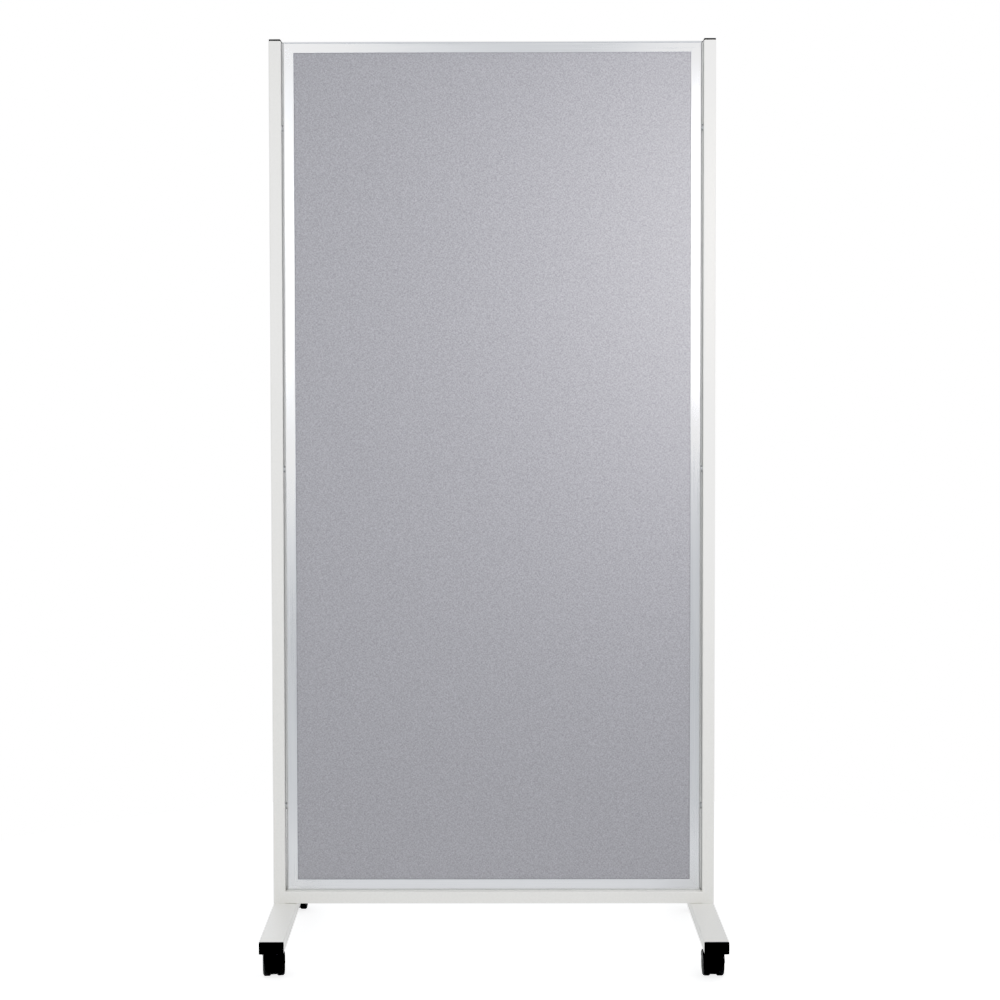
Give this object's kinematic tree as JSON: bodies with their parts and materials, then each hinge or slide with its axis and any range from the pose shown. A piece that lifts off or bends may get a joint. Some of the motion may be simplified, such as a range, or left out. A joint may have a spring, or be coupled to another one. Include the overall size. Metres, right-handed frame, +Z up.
{
  "type": "mobile display partition",
  "caption": "Free-standing partition: a fabric pinboard in an aluminium frame between white steel uprights, on feet with locking twin-wheel castors.",
  "frame": {"origin": "on the floor, under the middle of the stand", "axes": "+X across the panel to the right, -Y out of the front face, +Z up"},
  "size_m": [0.9614, 0.668, 1.92],
  "materials": {
    "white_powder_coat": "satin white powder coat",
    "anodised_aluminium": "matt natural anodised",
    "key_aluminium": "mill",
    "grey_fabric": "fine speckled weave",
    "softboard": "pressed fibre",
    "paper_core": "raw",
    "zinc_steel": "zinc plated",
    "cap_plastic": "moulded",
    "castor_plastic": "moulded",
    "wheel_nylon": "moulded, worn tread",
    "white_plastic": "moulded"
  },
  "bodies": {
    "stand": {"access_plugs": "white_plastic", "bottom_rail": "white_powder_coat", "castor_nuts": "zinc_steel", "castor_washers": "zinc_steel", "corner_keys": "key_aluminium", "corner_screws": "zinc_steel", "fabric_front": "grey_fabric", "fabric_rear": "grey_fabric", "foot_cap_front_left": "cap_plastic", "foot_cap_front_right": "cap_plastic", "foot_cap_rear_left": "cap_plastic", "foot_cap_rear_right": "cap_plastic", "foot_left": "white_powder_coat", "foot_right": "white_powder_coat", "frame_bottom": "anodised_aluminium", "frame_left": "anodised_aluminium", "frame_right": "anodised_aluminium", "frame_top": "anodised_aluminium", "front_left_stem": "zinc_steel", "front_right_stem": "zinc_steel", "panel_core": "paper_core", "panel_nuts": "zinc_steel", "panel_screws": "zinc_steel", "panel_spacers": "zinc_steel", "rear_left_stem": "zinc_steel", "rear_right_stem": "zinc_steel", "rest_pads": "white_plastic", "softboard_front": "softboard", "softboard_rear": "softboard", "swivel_bearings": "white_plastic", "upright_cap_left": "cap_plastic", "upright_cap_right": "cap_plastic", "upright_left": "white_powder_coat", "upright_right": "white_powder_coat"},
    "front_left_castor": {"front_left_hood": "castor_plastic", "front_left_axle": "zinc_steel", "front_left_brake_pin": "zinc_steel"},
    "front_left_wheel_a": {"front_left_wheel_a": "wheel_nylon"},
    "front_left_wheel_b": {"front_left_wheel_b": "wheel_nylon"},
    "front_left_brake": {"front_left_brake_pedal": "castor_plastic"},
    "front_right_castor": {"front_right_hood": "castor_plastic", "front_right_axle": "zinc_steel", "front_right_brake_pin": "zinc_steel"},
    "front_right_wheel_a": {"front_right_wheel_a": "wheel_nylon"},
    "front_right_wheel_b": {"front_right_wheel_b": "wheel_nylon"},
    "front_right_brake": {"front_right_brake_pedal": "castor_plastic"},
    "rear_left_castor": {"rear_left_hood": "castor_plastic", "rear_left_axle": "zinc_steel"},
    "rear_left_wheel_a": {"rear_left_wheel_a": "wheel_nylon"},
    "rear_left_wheel_b": {"rear_left_wheel_b": "wheel_nylon"},
    "rear_right_castor": {"rear_right_hood": "castor_plastic", "rear_right_axle": "zinc_steel"},
    "rear_right_wheel_a": {"rear_right_wheel_a": "wheel_nylon"},
    "rear_right_wheel_b": {"rear_right_wheel_b": "wheel_nylon"}
  },
  "joints": [
    {"name": "front_left_swivel", "type": "hinge", "parent": "stand", "child": "front_left_castor", "pos_m": [-0.444, -0.268, 0.065], "axis": [0, 0, 1], "continuous": true},
    {"name": "front_left_wheel_a_spin", "type": "hinge", "parent": "front_left_castor", "child": "front_left_wheel_a", "pos_m": [-0.44682, -0.25022, 0.025], "axis": [0.9877, 0.1564, 0], "continuous": true},
    {"name": "front_left_wheel_b_spin", "type": "hinge", "parent": "front_left_castor", "child": "front_left_wheel_b", "pos_m": [-0.44682, -0.25022, 0.025], "axis": [0.9877, 0.1564, 0], "continuous": true},
    {"name": "front_left_brake_rock", "type": "hinge", "parent": "front_left_castor", "child": "front_left_brake", "pos_m": [-0.44953, -0.2331, 0.03855], "axis": [-0.9877, -0.1564, 0], "range_deg": [0, 15]},
    {"name": "front_right_swivel", "type": "hinge", "parent": "stand", "child": "front_right_castor", "pos_m": [0.444, -0.268, 0.065], "axis": [0, 0, 1], "continuous": true},
    {"name": "front_right_wheel_a_spin", "type": "hinge", "parent": "front_right_castor", "child": "front_right_wheel_a", "pos_m": [0.444, -0.25, 0.025], "axis": [1, 0, 0], "continuous": true},
    {"name": "front_right_wheel_b_spin", "type": "hinge", "parent": "front_right_castor", "child": "front_right_wheel_b", "pos_m": [0.444, -0.25, 0.025], "axis": [1, 0, 0], "continuous": true},
    {"name": "front_right_brake_rock", "type": "hinge", "parent": "front_right_castor", "child": "front_right_brake", "pos_m": [0.444, -0.23266, 0.03855], "axis": [-1, 0, 0], "range_deg": [0, 15]},
    {"name": "rear_left_swivel", "type": "hinge", "parent": "stand", "child": "rear_left_castor", "pos_m": [-0.444, 0.268, 0.065], "axis": [0, 0, 1], "continuous": true},
    {"name": "rear_left_wheel_a_spin", "type": "hinge", "parent": "rear_left_castor", "child": "rear_left_wheel_a", "pos_m": [-0.44431, 0.286, 0.025], "axis": [0.9998, 0.0175, 0], "continuous": true},
    {"name": "rear_left_wheel_b_spin", "type": "hinge", "parent": "rear_left_castor", "child": "rear_left_wheel_b", "pos_m": [-0.44431, 0.286, 0.025], "axis": [0.9998, 0.0175, 0], "continuous": true},
    {"name": "rear_right_swivel", "type": "hinge", "parent": "stand", "child": "rear_right_castor", "pos_m": [0.444, 0.268, 0.065], "axis": [0, 0, 1], "continuous": true},
    {"name": "rear_right_wheel_a_spin", "type": "hinge", "parent": "rear_right_castor", "child": "rear_right_wheel_a", "pos_m": [0.462, 0.268, 0.025], "axis": [0, -1, 0], "continuous": true},
    {"name": "rear_right_wheel_b_spin", "type": "hinge", "parent": "rear_right_castor", "child": "rear_right_wheel_b", "pos_m": [0.462, 0.268, 0.025], "axis": [0, -1, 0], "continuous": true}
  ]
}
